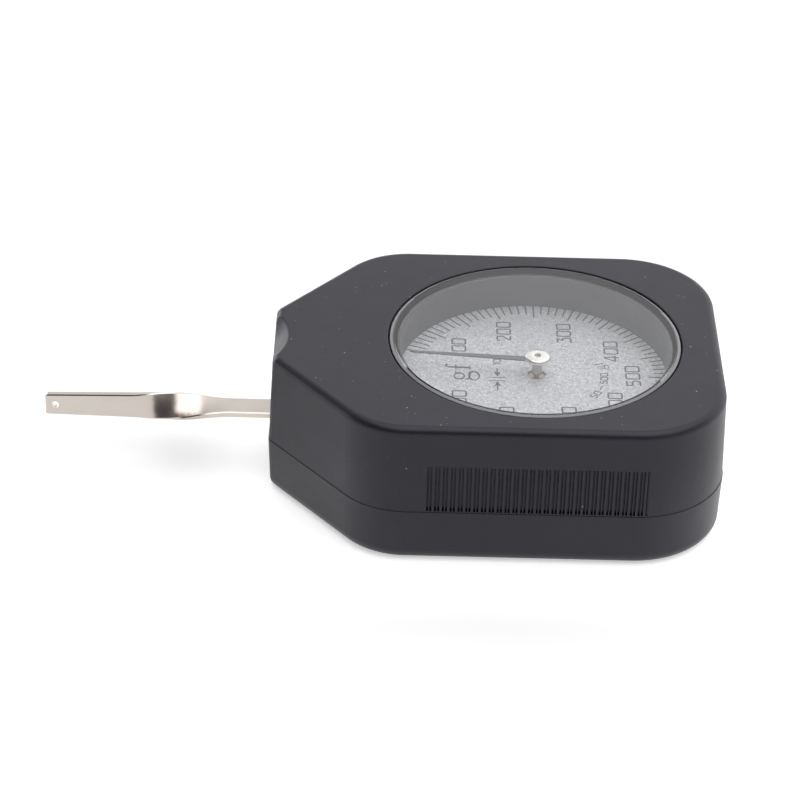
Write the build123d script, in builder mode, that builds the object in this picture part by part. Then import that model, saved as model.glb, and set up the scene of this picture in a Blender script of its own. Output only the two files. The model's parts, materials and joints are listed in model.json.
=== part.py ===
from build123d import *
import math
import os

os.makedirs("parts", exist_ok=True)

# Dial force gauge, lying on its back. Millimetres, +Z up. The origin is where
# the needle's axis meets the bottom of the case; the feeler points to -X.

# ---------------------------------------------------------------- case
HALF_WIDTH = 27.0        # half of the case's 54 mm width
NOSE_X = 41.75           # nose face, measured along -X at the parting line
TAIL_X = 28.75           # tail face at the parting line
NOSE_HALF = 7.85         # half width of the flat nose face
BREAK_X = -25.85         # where the slanted flanks meet the long sides
R_NOSE = 1.6
R_BREAK = 12.0
R_TAIL = 14.3
NOSE_DRAFT = 0.62        # how far the nose leans in from parting line to top
TAIL_DRAFT = 0.45
TOP_Z = 23.9
PARTING_Z = 9.1
WALL = 2.0
ROOF_Z = 21.5            # underside of the upper face
FLOOR_Z = 2.0            # inside of the lower face
TOP_FILLET = 1.2
BOTTOM_FILLET = 2.1
LIP = 1.1                # tongue that centres the two covers
LIP_INSET = 1.05

WINDOW_X = -0.53         # the window's centre, a little to the nose side
WINDOW_R = 22.95         # recess that takes the lens
BORE_R = 21.07           # well between the lens and the dial
COLLAR_R = 23.3
COLLAR_Z = 16.4
SEAT_Z = 22.0            # ledge under the lens

SCOOP_Y = -0.6           # finger scoop in the nose's upper edge
SCOOP_X = -51.44
SCOOP_Z = 35.47
SCOOP_R = 17.0

NOTCH_HALF = 5.0         # opening for the feeler lever
NOTCH_TOP = 10.9

RIB_PITCH = 1.18         # grip grooves on both long sides
RIB_COUNT = 29
RIB_GROOVE = 0.32        # two grooves to a pitch, with a thin rib between them
RIB_THIN = 0.16
RIB_DEPTH = 0.6
RIB_BASE = 9.35
RIB_TOP = 17.3
RIB_MID_X = -0.15
RIB_END_X = 15.97

BOSSES = [(20.4, 20.4), (20.4, -20.4), (-23.5, 19.0), (-23.5, -19.0)]
BOSS_R = 2.8
COLUMN_R = 3.2
SCREW_R = 1.1
HEAD_R = 2.2

# ---------------------------------------------------------------- lens, dial
LENS_R = 22.65
LENS_FLAT_R = 22.0       # where the bevel round the rim begins
LENS_TOP = 24.05
LENS_EDGE = 23.75
LENS_UNDER = 22.2
GASKET_R = 21.45
DIAL_TOP = 16.3
DIAL_T = 0.5
DIAL_R = 23.9
DIAL_HOLE_R = 1.42

# ---------------------------------------------------------------- movement
PLATE_T = 1.2
BACK_Z = 3.4             # underside of the back plate
FRONT_Z = DIAL_TOP - DIAL_T - PLATE_T
BACK_TOP = BACK_Z + PLATE_T
FRONT_TOP = FRONT_Z + PLATE_T
PLATE_R = 18.5
PLATE_NOSE_R = 7.5
PLATE_NOSE_X = -31.0
PILLARS = [(10.0, 12.5), (10.0, -12.5), (-30.5, 6.0), (-30.5, -6.0)]
PILLAR_R = 1.4
POSTS = [(14.5, 0.0), (-13.0, 10.5), (-13.0, -10.5)]
FEET = [(15.5, 0.0), (-9.0, 12.5), (-9.0, -12.5)]

# ---------------------------------------------------------------- gearing
MODULE = 0.4
PINION_TEETH = 12
SECTOR_TEETH = 156       # teeth of the whole wheel that the sector is cut from
PRESSURE = math.radians(25.0)
PIVOT_X = -MODULE * (PINION_TEETH + SECTOR_TEETH) / 2.0
SWING = 180.0 * PINION_TEETH / SECTOR_TEETH
SECTOR_HALF_TEETH = 7
SECTOR_TOP = 9.42
SECTOR_T = 1.0
STOP_ALONG = 14.0
STOP_OFF = 4.7
STOP_R = 0.9

# ---------------------------------------------------------------- lever
LEVER_Z = 9.87           # middle of the strip
LEVER_T = 0.9
LEVER_BEVEL = 0.2        # on the long edges of the upper face
LEVER_BEVEL_T = 0.12     # the same bevel through the thickness
TIP_X = -77.45
FLAT_HALF = 2.2          # half widths of the strip
BLADE_HALF = 2.08
TIP_HALF = 1.8
# where the strip has turned through each angle, in degrees
TWIST = [
    (-48.4, 0.0), (-50.2, 4.0), (-52.0, 12.0), (-54.0, 25.5), (-55.5, 37.5), (-57.0, 49.5),
    (-58.5, 61.0), (-60.0, 71.5), (-61.5, 81.0), (-62.7, 87.0), (-63.9, 90.0),
]
TIP_HOLE_X = -75.94
TIP_HOLE_R = 0.6
LEVER_TOP = LEVER_Z + LEVER_T / 2.0
LEVER_LOW = LEVER_Z - LEVER_T / 2.0

SHAFT_R = 1.0
PIVOT_R = 0.6
RUN = 0.03               # radial running clearance in the bushes
PIN_X = -27.5            # pin on the lever between the spring legs
POST_X = -23.8           # fixed post between the spring legs
PIN_R = 1.58
COIL_R = 1.9
WIRE_R = 0.3

# ---------------------------------------------------------------- needle
NEEDLE_LEN = 20.05
NEEDLE_ANGLE = 4.5       # degrees off the nose, towards +Y, at rest
NEEDLE_Z = 18.95
NEEDLE_T = 0.2
CAP_R = 2.05


def case_profile(z, inset, lean):
    """Case outline at height z, moved inwards by inset. lean is 0 at the
    parting line and 1 at the top."""
    nose = NOSE_X - NOSE_DRAFT * lean
    tail = TAIL_X - TAIL_DRAFT * lean
    ax, ay = -nose, NOSE_HALF
    bx, by = BREAK_X, HALF_WIDTH
    length = math.hypot(bx - ax, by - ay)
    ux, uy = (bx - ax) / length, (by - ay) / length
    nose_y = ay + inset * (uy - 1.0) / ux
    break_x = ax + (inset + (by - inset - ay) * ux) / uy
    side = HALF_WIDTH - inset
    x0, x1 = -nose + inset, tail - inset
    with BuildSketch(Plane.XY.offset(z)) as profile:
        with BuildLine():
            Polyline(
                (x0, -nose_y), (break_x, -side), (x1, -side),
                (x1, side), (break_x, side), (x0, nose_y), close=True,
            )
        make_face()
        fillet(profile.vertices().filter_by_position(Axis.X, x0 - 0.1, x0 + 0.1), max(R_NOSE - inset, 0.4))
        fillet(profile.vertices().filter_by_position(Axis.X, x1 - 0.1, x1 + 0.1), R_TAIL - inset)
        fillet(profile.vertices().filter_by_position(Axis.X, break_x - 0.1, break_x + 0.1), R_BREAK - inset)
    return profile.sketch


def disc(z, height, radius, points, mode=Mode.ADD):
    """Round bosses, holes or pins at the given points, from z upwards."""
    with BuildSketch(Plane.XY.offset(z)) as rounds:
        with Locations(*points):
            Circle(radius)
    extrude(rounds.sketch, amount=height, mode=mode)


def tooth_half_angle(radius, teeth, backlash):
    """Half the angle that one involute tooth takes up at this radius."""
    pitch_r = MODULE * teeth / 2.0
    base_r = pitch_r * math.cos(PRESSURE)
    at = math.acos(min(1.0, base_r / radius))
    inv = lambda a: math.tan(a) - a
    half = (math.pi * MODULE / 2.0 - backlash) / (2.0 * pitch_r)
    return half + inv(PRESSURE) - inv(at)


def tooth_points(centre, teeth, root_r, tip_r, backlash, steps=5):
    """One tooth, from its clockwise root to its anticlockwise root."""
    base_r = MODULE * teeth / 2.0 * math.cos(PRESSURE)
    low = max(root_r, base_r + 0.001)
    radii = [low + (tip_r - low) * i / (steps - 1) for i in range(steps)]
    rising = [(r, centre - tooth_half_angle(r, teeth, backlash)) for r in radii]
    falling = [(r, centre + tooth_half_angle(r, teeth, backlash)) for r in reversed(radii)]
    if low > root_r + 0.005:
        rising = [(root_r, rising[0][1])] + rising
        falling = falling + [(root_r, falling[-1][1])]
    return rising + falling


def polar(points, x0=0.0):
    return [(x0 + r * math.cos(a), r * math.sin(a)) for r, a in points]


# ================================================================ covers
with BuildPart() as front_cover:
    # outer skin, drafted at nose and tail, with a rounded upper edge
    loft([case_profile(PARTING_Z, 0.0, 0.0), case_profile(TOP_Z, 0.0, 1.0)])
    fillet(front_cover.faces().sort_by(Axis.Z)[-1].edges(), TOP_FILLET)
    # hollow inside
    lean = (ROOF_Z - PARTING_Z) / (TOP_Z - PARTING_Z)
    loft([case_profile(PARTING_Z, WALL, 0.0), case_profile(ROOF_Z, WALL, lean)], mode=Mode.SUBTRACT)
    # rebate for the rear cover's tongue
    extrude(case_profile(PARTING_Z, LIP_INSET, 0.0), amount=LIP + 0.15, mode=Mode.SUBTRACT)
    # collar round the window
    disc(COLLAR_Z, ROOF_Z - COLLAR_Z + 0.2, COLLAR_R, [(WINDOW_X, 0)])
    disc(COLLAR_Z - 0.5, TOP_Z - COLLAR_Z + 1.0, BORE_R, [(WINDOW_X, 0)], Mode.SUBTRACT)
    disc(SEAT_Z, TOP_Z - SEAT_Z + 1.0, WINDOW_R, [(WINDOW_X, 0)], Mode.SUBTRACT)
    chamfer(
        front_cover.edges().filter_by(GeomType.CIRCLE)
        .filter_by(lambda e: abs(e.radius - BORE_R) < 0.01 and abs(e.center().Z - SEAT_Z) < 0.01),
        0.15,
    )
    fillet(
        front_cover.edges().filter_by(GeomType.CIRCLE)
        .filter_by(lambda e: abs(e.radius - WINDOW_R) < 0.01 and e.center().Z > TOP_Z - 0.1),
        0.2,
    )
    # screw bosses, open at the parting line
    disc(PARTING_Z, ROOF_Z - PARTING_Z + 0.2, BOSS_R, BOSSES)
    disc(PARTING_Z, 8.4, SCREW_R + 0.03, BOSSES, Mode.SUBTRACT)
    # finger scoop in the nose's upper edge
    with Locations((SCOOP_X, SCOOP_Y, SCOOP_Z)):
        Sphere(SCOOP_R, mode=Mode.SUBTRACT)
    fillet(
        front_cover.faces().filter_by(GeomType.SPHERE).edges()
        .filter_by(lambda e: e.center().Z > TOP_Z - 0.01 and e.geom_type == GeomType.CIRCLE),
        0.5,
    )
    # opening for the lever
    with BuildSketch(Plane.XY.offset(PARTING_Z)):
        with Locations((-40.5, 0)):
            Rectangle(5.0, 2 * NOTCH_HALF)
    extrude(amount=NOTCH_TOP - PARTING_Z, mode=Mode.SUBTRACT)
    # grip grooves in pairs, stopping just above the parting line
    rows = [
        (RIB_MID_X + (k - (RIB_COUNT - 1) / 2.0) * RIB_PITCH + half * (RIB_GROOVE + RIB_THIN) / 2.0, 0)
        for k in range(RIB_COUNT - 1) for half in (-1, 1)
    ]
    for side in (1, -1):
        with BuildSketch(Plane((0, side * HALF_WIDTH, (RIB_TOP + RIB_BASE) / 2.0), x_dir=(1, 0, 0), z_dir=(0, side, 0))):
            with Locations(*rows):
                Rectangle(RIB_GROOVE, RIB_TOP - RIB_BASE)
        extrude(amount=-RIB_DEPTH, mode=Mode.SUBTRACT)
    # sloping end of the row, towards the tail
    for side in (1, -1):
        with BuildSketch(Plane.XY.offset(RIB_BASE)):
            with BuildLine():
                Polyline(
                    (RIB_END_X, side * (HALF_WIDTH + 0.2)), (RIB_END_X, side * (HALF_WIDTH - 0.35)),
                    (RIB_END_X + 0.8, side * HALF_WIDTH), (RIB_END_X + 0.8, side * (HALF_WIDTH + 0.2)), close=True,
                )
            make_face()
        extrude(amount=RIB_TOP - RIB_BASE, mode=Mode.SUBTRACT)
front_cover.part.label = "front_cover"

with BuildPart() as rear_cover:
    # tray with a rounded lower edge, a hair proud of the front cover
    loft([case_profile(0.0, 0.20, 0.0), case_profile(PARTING_Z, -0.08, 0.0)])
    fillet(rear_cover.faces().sort_by(Axis.Z)[0].edges(), BOTTOM_FILLET)
    loft([case_profile(FLOOR_Z, WALL + 0.28, 0.0), case_profile(PARTING_Z, WALL, 0.0)], mode=Mode.SUBTRACT)
    # tongue that fits the front cover's rebate, open where the lever passes
    extrude(case_profile(PARTING_Z, LIP_INSET + 0.05, 0.0), amount=LIP)
    extrude(case_profile(PARTING_Z, WALL, 0.0), amount=LIP, mode=Mode.SUBTRACT)
    with BuildSketch(Plane.XY.offset(PARTING_Z)):
        with Locations((-40.5, 0)):
            Rectangle(5.0, 2 * NOTCH_HALF + 0.6)
    extrude(amount=LIP, mode=Mode.SUBTRACT)
    # room for the front cover's screw bosses inside the tongue
    disc(PARTING_Z, LIP, BOSS_R + 0.15, BOSSES, Mode.SUBTRACT)
    # screw columns and the three posts that carry the movement
    disc(FLOOR_Z - 0.5, PARTING_Z - FLOOR_Z + 0.5, COLUMN_R, BOSSES)
    disc(FLOOR_Z - 0.5, BACK_Z - FLOOR_Z + 0.5, 2.6, POSTS)
    disc(0.8, BACK_Z, 0.83, POSTS, Mode.SUBTRACT)
    disc(0.0, PARTING_Z + 1.5, 1.3, BOSSES, Mode.SUBTRACT)
    disc(0.0, 3.0, HEAD_R + 0.25, BOSSES, Mode.SUBTRACT)
rear_cover.part.label = "rear_cover"

with BuildPart() as case_screws:
    disc(1.3, 1.7, HEAD_R, BOSSES)
    fillet(case_screws.faces().group_by(Axis.Z)[0].edges(), 0.45)
    disc(3.0, 13.0, SCREW_R, BOSSES)
    chamfer(case_screws.faces().group_by(Axis.Z)[-1].edges(), 0.4)
    # cross recess
    with BuildSketch(Plane.XY.offset(1.3)):
        with Locations(*BOSSES):
            Rectangle(2.4, 0.5, rotation=20)
            Rectangle(2.4, 0.5, rotation=110)
    extrude(amount=0.9, mode=Mode.SUBTRACT)
case_screws.part.label = "case_screws"

# ================================================================ lens
with BuildPart() as lens:
    with BuildSketch(Plane.XZ):
        with BuildLine():
            Polyline(
                (0, LENS_UNDER), (LENS_R, LENS_UNDER), (LENS_R, LENS_EDGE),
                (LENS_FLAT_R, LENS_TOP), (0, LENS_TOP), close=True,
            )
        make_face()
    revolve(axis=Axis.Z)
lens.part = lens.part.moved(Location((WINDOW_X, 0, 0)))
lens.part.label = "lens"

with BuildPart() as lens_gasket:
    with BuildSketch(Plane.XY.offset(SEAT_Z)):
        with Locations((WINDOW_X, 0)):
            Circle(LENS_R)
            Circle(GASKET_R, mode=Mode.SUBTRACT)
    extrude(amount=LENS_UNDER - SEAT_Z)
lens_gasket.part.label = "lens_gasket"

# ================================================================ dial
with BuildPart() as dial_plate:
    with BuildSketch(Plane.XY.offset(DIAL_TOP - DIAL_T)):
        with Locations((WINDOW_X, 0)):
            Circle(DIAL_R)
        Circle(DIAL_HOLE_R, mode=Mode.SUBTRACT)
    extrude(amount=DIAL_T)
dial_plate.part.label = "dial_plate"

with BuildPart() as dial_feet:
    disc(FRONT_Z - 0.7, DIAL_TOP - DIAL_T - FRONT_Z + 0.7, 0.7, FEET)
    chamfer(dial_feet.faces().group_by(Axis.Z)[0].edges(), 0.15)
dial_feet.part.label = "dial_feet"


# ================================================================ plates
def plate_blank(z, big_r):
    """Pear-shaped movement plate, 1.2 mm thick."""
    with BuildSketch(Plane.XY.offset(z)) as blank:
        Circle(big_r)
        with Locations((PLATE_NOSE_X, 0)):
            Circle(PLATE_NOSE_R)
        make_hull()
    extrude(blank.sketch, amount=PLATE_T)


STOPS = [
    (
        PIVOT_X + STOP_ALONG * math.cos(math.radians(SWING)) - STOP_OFF * math.sin(math.radians(SWING)),
        s * (STOP_ALONG * math.sin(math.radians(SWING)) + STOP_OFF * math.cos(math.radians(SWING))),
    )
    for s in (1, -1)
]
STUD = (0.0, 6.78)

with BuildPart() as back_plate:
    plate_blank(BACK_Z, PLATE_R)
    disc(BACK_Z, PLATE_T, 0.8, PILLARS, Mode.SUBTRACT)
    disc(BACK_Z, 0.6, 1.4, PILLARS, Mode.SUBTRACT)
    disc(BACK_Z, PLATE_T, 0.86, POSTS, Mode.SUBTRACT)
    disc(BACK_Z, PLATE_T, 1.51, [(PIVOT_X, 0)], Mode.SUBTRACT)
    disc(BACK_Z, PLATE_T, 1.31, [(0, 0)], Mode.SUBTRACT)
    disc(BACK_Z, PLATE_T, 0.61, STOPS, Mode.SUBTRACT)
    disc(BACK_Z, PLATE_T, 0.81, [(POST_X, 0)], Mode.SUBTRACT)
    # sight hole under the mesh
    disc(BACK_Z, PLATE_T, 1.7, [(-5.6, 0)], Mode.SUBTRACT)
back_plate.part.label = "back_plate"

with BuildPart() as front_plate:
    plate_blank(FRONT_Z, PLATE_R + 0.5)
    disc(FRONT_Z, PLATE_T, 0.8, PILLARS, Mode.SUBTRACT)
    disc(FRONT_TOP - 0.6, 0.6, 1.4, PILLARS, Mode.SUBTRACT)
    disc(FRONT_Z, PLATE_T, 0.71, FEET, Mode.SUBTRACT)
    disc(FRONT_Z, PLATE_T, 1.51, [(PIVOT_X, 0)], Mode.SUBTRACT)
    disc(FRONT_Z, PLATE_T, 1.31, [(0, 0)], Mode.SUBTRACT)
    disc(FRONT_Z, PLATE_T, 0.81, [(POST_X, 0)], Mode.SUBTRACT)
    disc(FRONT_Z, PLATE_T, 0.46, [STUD], Mode.SUBTRACT)
front_plate.part.label = "front_plate"

with BuildPart() as plate_pillars:
    disc(BACK_TOP, FRONT_Z - BACK_TOP, PILLAR_R, PILLARS)
    disc(BACK_TOP, 3.6, 0.72, PILLARS, Mode.SUBTRACT)
    disc(FRONT_Z - 3.6, 3.6, 0.72, PILLARS, Mode.SUBTRACT)
    # turned neck between two collars
    with BuildSketch(Plane.XY.offset(BACK_TOP + 4.0)):
        with Locations(*PILLARS):
            Circle(PILLAR_R + 0.1)
            Circle(PILLAR_R - 0.25, mode=Mode.SUBTRACT)
    extrude(amount=2.0, mode=Mode.SUBTRACT)
plate_pillars.part.label = "plate_pillars"

with BuildPart() as pillar_screws:
    disc(BACK_Z, 0.6, 1.3, PILLARS)
    disc(BACK_Z + 0.6, 3.2, 0.7, PILLARS)
    disc(FRONT_TOP - 0.6, 0.6, 1.3, PILLARS)
    disc(FRONT_TOP - 3.8, 3.2, 0.7, PILLARS)
    with BuildSketch(Plane.XY.offset(BACK_Z)):
        with Locations(*PILLARS):
            Rectangle(2.7, 0.35, rotation=35)
    extrude(amount=0.3, mode=Mode.SUBTRACT)
    with BuildSketch(Plane.XY.offset(FRONT_TOP - 0.3)):
        with Locations(*PILLARS):
            Rectangle(2.7, 0.35, rotation=-25)
    extrude(amount=0.3, mode=Mode.SUBTRACT)
pillar_screws.part.label = "pillar_screws"

with BuildPart() as movement_screws:
    disc(BACK_TOP, 1.0, 1.6, POSTS)
    fillet(movement_screws.faces().group_by(Axis.Z)[-1].edges(), 0.25)
    disc(BACK_TOP - 3.3, 3.3, 0.8, POSTS)
    with BuildSketch(Plane.XY.offset(BACK_TOP + 0.55)):
        with Locations(*POSTS):
            Rectangle(3.4, 0.4, rotation=15)
    extrude(amount=0.5, mode=Mode.SUBTRACT)
movement_screws.part.label = "movement_screws"


# ================================================================ bushes
def bush(x, z, body_r, flange_r, bore_r, up, extra=0.0):
    """Flanged bush in a plate. The flange faces the inside of the movement."""
    flange_z = z + PLATE_T if up else z - 0.3
    disc(z, PLATE_T + extra, body_r, [(x, 0)])
    disc(flange_z, 0.3, flange_r, [(x, 0)])
    disc(z - 0.3, PLATE_T + 0.6 + extra, bore_r, [(x, 0)], Mode.SUBTRACT)


with BuildPart() as lever_bush_rear:
    bush(PIVOT_X, BACK_Z, 1.5, 2.2, PIVOT_R + RUN, True)
lever_bush_rear.part.label = "lever_bush_rear"

with BuildPart() as lever_bush_front:
    bush(PIVOT_X, FRONT_Z, 1.5, 2.2, PIVOT_R + RUN, False)
lever_bush_front.part.label = "lever_bush_front"

with BuildPart() as arbor_bush_rear:
    bush(0.0, BACK_Z, 1.3, 2.0, 0.5 + RUN, True)
arbor_bush_rear.part.label = "arbor_bush_rear"

with BuildPart() as arbor_bush_front:
    bush(0.0, FRONT_Z, 1.3, 2.0, 0.55 + RUN, False, extra=0.25)
arbor_bush_front.part.label = "arbor_bush_front"

# ================================================================ stops and posts
with BuildPart() as limit_stops:
    disc(BACK_TOP, 5.4, STOP_R, STOPS)
    disc(BACK_Z, PLATE_T, 0.6, STOPS)
    chamfer(limit_stops.faces().group_by(Axis.Z)[-1].edges(), 0.2)
limit_stops.part.label = "limit_stops"

with BuildPart() as spring_posts:
    disc(BACK_TOP, 2.8, PIN_R, [(POST_X, 0)])
    disc(BACK_Z, PLATE_T, 0.8, [(POST_X, 0)])
    disc(FRONT_Z - 3.75, 3.75, PIN_R, [(POST_X, 0)])
    disc(FRONT_Z, PLATE_T, 0.8, [(POST_X, 0)])
spring_posts.part.label = "spring_posts"

with BuildPart() as hairspring_stud:
    disc(FRONT_Z - 2.9, 2.9, 0.65, [STUD])
    disc(FRONT_Z, PLATE_T, 0.45, [STUD])
hairspring_stud.part.label = "hairspring_stud"

# ================================================================ lever
def strip_section(half):
    """Corners of the strip's cross-section, upper face at +y, its two upper
    edges bevelled."""
    t = LEVER_T / 2.0
    return [
        (-half, -t), (half, -t), (half, t - LEVER_BEVEL_T), (half - LEVER_BEVEL, t),
        (LEVER_BEVEL - half, t), (-half, t - LEVER_BEVEL_T),
    ]


with BuildPart() as feeler_lever:
    # flat inner stretch, with an eye round the shaft
    with BuildSketch(Plane.XY.offset(LEVER_LOW)) as flat:
        with BuildLine():
            Polyline(
                (-22.3, -2.3), (-31.0, -2.6), (-36.2, -2.6), (-40.0, -FLAT_HALF),
                (-41.0, -FLAT_HALF), (-41.0, FLAT_HALF), (-40.0, FLAT_HALF),
                (-36.2, 2.6), (-31.0, 2.6), (-22.3, 2.3), close=True,
            )
        make_face()
        with Locations((PIVOT_X, 0)):
            Circle(3.3)
        fillet(flat.vertices().filter_by_position(Axis.X, -22.4, -22.2), 1.0)
    extrude(amount=LEVER_T)
    # straight stretch with bevelled upper edges
    with BuildSketch(Plane(origin=(-41.0, 0, LEVER_Z), x_dir=(0, -1, 0), z_dir=(-1, 0, 0))):
        with BuildLine():
            Polyline(*strip_section(FLAT_HALF), close=True)
        make_face()
    extrude(amount=-41.0 - TWIST[0][0])
    # quarter twist: the far edge turns up, the near edge down
    for along, angle in TWIST:
        turn = math.radians(angle)
        half = FLAT_HALF + (BLADE_HALF - FLAT_HALF) * (along - TWIST[0][0]) / (TWIST[-1][0] - TWIST[0][0])
        with BuildSketch(Plane(
            origin=(along, 0, LEVER_Z), x_dir=(0, -math.cos(turn), -math.sin(turn)), z_dir=(-1, 0, 0),
        )):
            with BuildLine():
                Polyline(*strip_section(half), close=True)
            make_face()
    loft()
    # upright blade, tapering to the tip
    for along, half in ((TWIST[-1][0], BLADE_HALF), (TIP_X, TIP_HALF)):
        with BuildSketch(Plane(origin=(along, 0, LEVER_Z), x_dir=(0, 0, -1), z_dir=(-1, 0, 0))):
            with BuildLine():
                Polyline(*strip_section(half), close=True)
            make_face()
    loft()
    tip_edges = feeler_lever.edges().filter_by(Axis.Y).filter_by_position(Axis.X, TIP_X - 0.1, TIP_X + 0.1)
    fillet(tip_edges, 0.45)
    with BuildSketch(Plane(origin=(0, -LEVER_T / 2, 0), x_dir=(1, 0, 0), z_dir=(0, -1, 0))):
        with Locations((TIP_HOLE_X, LEVER_Z)):
            Circle(TIP_HOLE_R)
    extrude(amount=-LEVER_T, mode=Mode.SUBTRACT)
    # holes for the hub, the rivets and the spring pin
    disc(LEVER_LOW, LEVER_T, 1.82, [(PIVOT_X, 0)], Mode.SUBTRACT)
    disc(LEVER_LOW, LEVER_T, 0.51, [(-30.6, 1.25), (-30.6, -1.25), (-24.6, 0)], Mode.SUBTRACT)
    disc(LEVER_LOW, LEVER_T, PIN_R + 0.01, [(PIN_X, 0)], Mode.SUBTRACT)
feeler_lever.part.label = "feeler_lever"

SECTOR_R = MODULE * SECTOR_TEETH / 2.0
RIM_HALF = (SECTOR_HALF_TEETH + 0.5) * 2 * math.pi / SECTOR_TEETH

with BuildPart() as sector_gear:
    outer = [(SECTOR_R - 0.5, -RIM_HALF)]
    for k in range(-SECTOR_HALF_TEETH, SECTOR_HALF_TEETH + 1):
        outer += tooth_points(k * 2 * math.pi / SECTOR_TEETH, SECTOR_TEETH, SECTOR_R - 0.5, SECTOR_R + 0.36, 0.03, steps=4)
    outer += [(SECTOR_R - 0.5, RIM_HALF)]
    inner = [(SECTOR_R - 3.4, RIM_HALF * (1 - i / 8.0)) for i in range(17)]
    with BuildSketch(Plane.XY.offset(SECTOR_TOP - SECTOR_T)):
        with BuildLine():
            Polyline(*polar(outer + inner, PIVOT_X), close=True)
        make_face()
        with BuildLine():
            Polyline(
                (PIVOT_X, -2.9), (PIVOT_X + 28.4, -4.5), (PIVOT_X + 28.4, 4.5),
                (PIVOT_X, 2.9), close=True,
            )
        make_face()
        with Locations((PIVOT_X, 0)):
            Circle(3.4)
            Circle(1.82, mode=Mode.SUBTRACT)
        with Locations((-30.6, 1.25), (-30.6, -1.25), (-24.6, 0)):
            Circle(0.51, mode=Mode.SUBTRACT)
        with Locations((PIN_X, 0)):
            Circle(PIN_R + 0.01, mode=Mode.SUBTRACT)
        # lightening holes
        with Locations((-18.6, 0)):
            Circle(1.8, mode=Mode.SUBTRACT)
        with Locations((-12.2, 0)):
            Circle(2.2, mode=Mode.SUBTRACT)
    extrude(amount=SECTOR_T)
sector_gear.part.label = "sector_gear"

with BuildPart() as lever_hub:
    disc(SECTOR_TOP - SECTOR_T - 0.92, 0.92, 3.2, [(PIVOT_X, 0)])
    disc(SECTOR_TOP - SECTOR_T, SECTOR_T + LEVER_T + 0.6, 1.8, [(PIVOT_X, 0)])
    disc(SECTOR_TOP - SECTOR_T - 0.92, 4.0, SHAFT_R + 0.01, [(PIVOT_X, 0)], Mode.SUBTRACT)
lever_hub.part.label = "lever_hub"

with BuildPart() as hub_washer:
    disc(LEVER_TOP, 0.6, 2.35, [(PIVOT_X, 0)])
    chamfer(hub_washer.faces().sort_by(Axis.Z)[-1].edges(), 0.15)
    disc(LEVER_TOP, 0.6, 1.82, [(PIVOT_X, 0)], Mode.SUBTRACT)
hub_washer.part.label = "hub_washer"

with BuildPart() as lever_shaft:
    disc(BACK_TOP + 0.35, FRONT_Z - BACK_TOP - 0.70, SHAFT_R, [(PIVOT_X, 0)])
    disc(BACK_Z + 0.1, FRONT_TOP - BACK_Z - 0.2, PIVOT_R, [(PIVOT_X, 0)])
lever_shaft.part.label = "lever_shaft"

with BuildPart() as lever_rivets:
    rivets = [(-30.6, 1.25), (-30.6, -1.25), (-24.6, 0)]
    disc(SECTOR_TOP - SECTOR_T, SECTOR_T + LEVER_T + 0.02, 0.5, rivets)
    disc(LEVER_TOP, 0.33, 0.8, rivets)
    fillet(lever_rivets.faces().group_by(Axis.Z)[-1].edges(), 0.2)
    disc(SECTOR_TOP - SECTOR_T - 0.33, 0.33, 0.8, [(-24.6, 0)])
lever_rivets.part.label = "lever_rivets"

with BuildPart() as spring_pin:
    disc(BACK_TOP + 0.42, FRONT_Z - BACK_TOP - 1.0, PIN_R, [(PIN_X, 0)])
    chamfer(spring_pin.faces().sort_by(Axis.Z)[-1].edges(), 0.2)
spring_pin.part.label = "spring_pin"


# ================================================================ springs
def centring_spring(z, turns, pitch):
    """Torsion spring whose two straight legs lie either side of the lever's
    pin and the fixed post."""
    height = turns * pitch
    leg = 11.3
    coil = Helix(pitch=pitch, height=height, radius=COIL_R, lefthand=True, mode=Mode.PRIVATE)
    coil = coil.moved(Location((PIVOT_X, 0, z), (0, 0, -90)))
    with BuildLine() as path:
        Line((PIVOT_X + leg, -COIL_R, z), (PIVOT_X, -COIL_R, z))
        add(coil)
        Line((PIVOT_X, COIL_R, z + height), (PIVOT_X + leg, COIL_R, z + height))
    with BuildSketch(Plane(origin=(PIVOT_X + leg, -COIL_R, z), z_dir=(-1, 0, 0))) as wire:
        Circle(WIRE_R)
    sweep(wire.sketch, path=path.wires()[0], is_frenet=True, transition=Transition.TRANSFORMED)


with BuildPart() as return_spring_upper:
    centring_spring(11.3, 3.5, 0.68)
return_spring_upper.part.label = "return_spring_upper"

with BuildPart() as return_spring_lower:
    centring_spring(5.32, 2.5, 0.68)
return_spring_lower.part.label = "return_spring_lower"

# ================================================================ needle train
with BuildPart() as pinion_arbor:
    disc(BACK_TOP + 0.35, FRONT_Z - BACK_TOP - 0.70, 1.0, [(0, 0)])
    disc(BACK_Z + 0.1, PLATE_T + 0.3, 0.5, [(0, 0)])
    disc(FRONT_Z - 0.4, 1.75, 0.55, [(0, 0)])
    disc(FRONT_Z + 1.3, NEEDLE_Z + 0.55 - FRONT_Z - 1.3, 0.45, [(0, 0)])
    teeth = []
    for k in range(PINION_TEETH):
        teeth += tooth_points(math.radians(15.0 + 30.0 * k), PINION_TEETH, 1.88, 2.4 + 0.36, 0.03)
    with BuildSketch(Plane.XY.offset(7.9)):
        with BuildLine():
            Polyline(*polar(teeth), close=True)
        make_face()
    extrude(amount=2.2)
pinion_arbor.part.label = "pinion_arbor"

with BuildPart() as hairspring_collet:
    disc(11.9, 1.2, 1.7, [(0, 0)])
    disc(11.9, 1.2, 1.01, [(0, 0)], Mode.SUBTRACT)
hairspring_collet.part.label = "hairspring_collet"

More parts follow.
